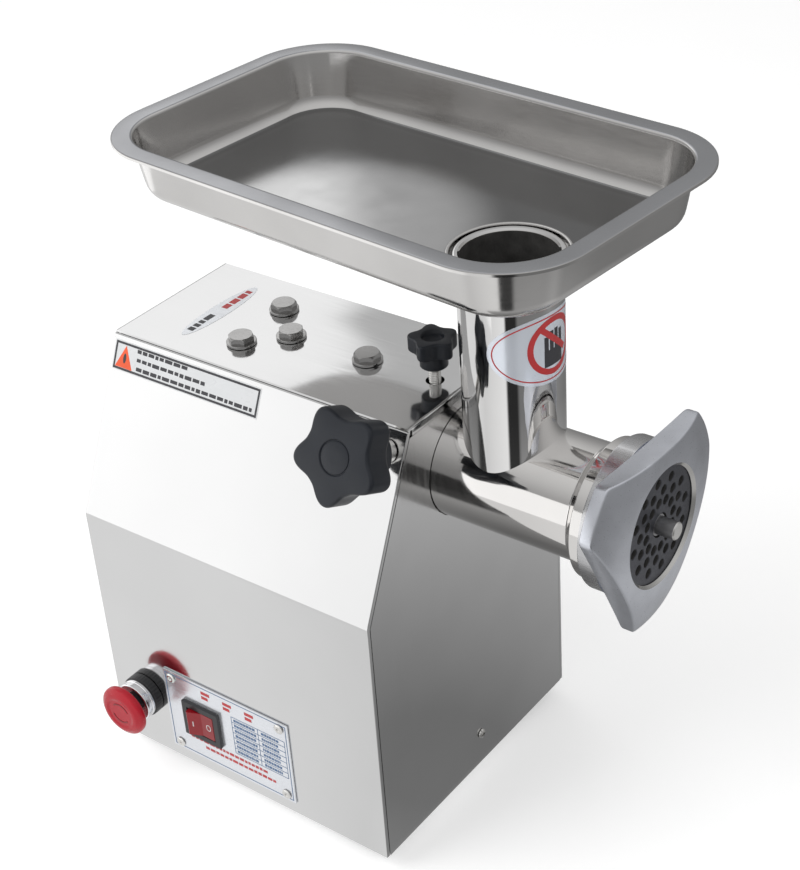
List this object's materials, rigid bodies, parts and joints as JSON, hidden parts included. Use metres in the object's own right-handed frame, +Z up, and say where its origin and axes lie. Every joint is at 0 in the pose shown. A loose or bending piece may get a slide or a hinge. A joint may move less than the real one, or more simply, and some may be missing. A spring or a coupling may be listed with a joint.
{
  "type": "electric meat grinder",
  "caption": "Bench meat grinder: geared motor in a folded steel housing with slanted sides, tubular feed head with worm, knife and hole plate, star knobs, stop button and feed pan.",
  "frame": {"origin": "bottom centre of the whole object's box, on the bench", "axes": "+X forwards along the drive line to the outlet, +Y away from the controls, +Z up"},
  "size_m": [0.414, 0.2848, 0.467],
  "materials": {
    "sheet_steel": "satin folded stainless sheet",
    "polished_steel": "polished stainless steel",
    "cast_steel": "cast and tumbled stainless steel",
    "lamination_steel": "varnished laminations",
    "cast_aluminium": "as cast",
    "grey_paint": "semi-gloss paint",
    "black_plastic": "moulded, fine grain",
    "red_plastic": "moulded, glossy",
    "chrome": "bright plated",
    "rubber": "matt",
    "bronze": "machined",
    "label": "printed film on a thin plate"
  },
  "bodies": {
    "machine": {"base_plate": "sheet_steel", "control_side_panel": "sheet_steel", "cord_gland": "black_plastic", "estop_collar": "black_plastic", "estop_contact_block": "black_plastic", "estop_ring": "chrome", "front_panel": "sheet_steel", "front_screw": "polished_steel", "gearbox_cover": "cast_aluminium", "gearbox_housing": "cast_aluminium", "head_socket": "polished_steel", "layshaft_bearing_front": "polished_steel", "layshaft_bearing_rear": "polished_steel", "motor_rear_shield": "cast_aluminium", "motor_shell": "grey_paint", "name_plate": "label", "output_bearing_front": "polished_steel", "output_bearing_rear": "polished_steel", "plain_side_panel": "sheet_steel", "plate_rivet_1": "polished_steel", "plate_rivet_2": "polished_steel", "plate_rivet_3": "polished_steel", "plate_rivet_4": "polished_steel", "rear_panel": "sheet_steel", "rotor_bearing_front": "polished_steel", "rotor_bearing_rear": "polished_steel", "rubber_foot_1": "rubber", "rubber_foot_2": "rubber", "rubber_foot_3": "rubber", "rubber_foot_4": "rubber", "run_capacitor": "black_plastic", "stator_core": "lamination_steel", "switch_bezel": "black_plastic", "top_bolt_1": "polished_steel", "top_bolt_2": "polished_steel", "top_bolt_3": "polished_steel", "top_bolt_4": "polished_steel", "top_plate": "sheet_steel"},
    "rotor": {"rotor_shaft": "lamination_steel", "cooling_fan": "black_plastic"},
    "layshaft_assembly": {"layshaft": "cast_steel", "intermediate_gear": "cast_steel"},
    "output_drive": {"output_shaft": "polished_steel", "output_gear": "cast_steel"},
    "head": {"grinder_head": "polished_steel", "worm_bush": "bronze", "hole_plate": "cast_steel"},
    "worm_assembly": {"worm": "cast_steel", "knife": "cast_steel"},
    "ring_nut": {"ring_nut": "cast_steel"},
    "feed_pan": {"feed_pan": "polished_steel"},
    "side_knob": {"side_clamp_knob": "black_plastic", "side_clamp_screw": "polished_steel"},
    "top_knob": {"top_lock_knob": "black_plastic", "top_lock_screw": "polished_steel"},
    "estop_stem": {"estop_stem": "black_plastic"},
    "estop_button": {"estop_button": "red_plastic"},
    "rocker": {"rocker": "red_plastic"}
  },
  "joints": [
    {"name": "rotor_turn", "type": "hinge", "parent": "machine", "child": "rotor", "pos_m": [-0.068, -0.0039, 0.15175], "axis": [1, 0, 0], "continuous": true},
    {"name": "layshaft_turn", "type": "hinge", "parent": "machine", "child": "layshaft_assembly", "pos_m": [-0.068, -0.0039, 0.21675], "axis": [1, 0, 0], "continuous": true},
    {"name": "output_turn", "type": "hinge", "parent": "machine", "child": "output_drive", "pos_m": [-0.068, -0.0039, 0.273], "axis": [1, 0, 0], "continuous": true},
    {"name": "head_slide", "type": "slide", "parent": "machine", "child": "head", "axis": [1, 0, 0], "range_m": [0, 0.05]},
    {"name": "worm_turn", "type": "hinge", "parent": "head", "child": "worm_assembly", "pos_m": [-0.068, -0.0039, 0.273], "axis": [1, 0, 0], "continuous": true},
    {"name": "ring_nut_turn", "type": "hinge", "parent": "head", "child": "ring_nut", "pos_m": [-0.068, -0.0039, 0.273], "axis": [1, 0, 0], "range_deg": [0, 90]},
    {"name": "feed_pan_lift", "type": "slide", "parent": "head", "child": "feed_pan", "axis": [0, 0, 1], "range_m": [0, 0.04]},
    {"name": "side_knob_turn", "type": "hinge", "parent": "machine", "child": "side_knob", "pos_m": [0.042, -0.00133, 0.27853], "axis": [0, -0.9065, 0.4222], "range_deg": [0, 720]},
    {"name": "top_knob_turn", "type": "hinge", "parent": "machine", "child": "top_knob", "pos_m": [0.034, -0.0039, 0.324], "axis": [0, 0, 1], "range_deg": [0, 720]},
    {"name": "estop_press", "type": "slide", "parent": "machine", "child": "estop_stem", "axis": [0, 1, 0], "range_m": [0, 0.004], "stiffness_N_per_m": 800, "springref_m": -0.002},
    {"name": "estop_twist", "type": "hinge", "parent": "estop_stem", "child": "estop_button", "pos_m": [-0.159, -0.1139, 0.06], "axis": [0, 1, 0], "range_deg": [0, 30], "stiffness_Nm_per_rad": 0.05, "springref_deg": -2.86},
    {"name": "rocker_tilt", "type": "hinge", "parent": "machine", "child": "rocker", "pos_m": [-0.1038, -0.1135, 0.0579], "axis": [0, 0, -1], "range_deg": [0, 22]}
  ],
  "couplings": [
    {"joint": "layshaft_turn", "follows": "rotor_turn", "ratio": -0.3},
    {"joint": "output_turn", "follows": "rotor_turn", "ratio": 0.12187},
    {"joint": "worm_turn", "follows": "rotor_turn", "ratio": 0.12187}
  ]
}
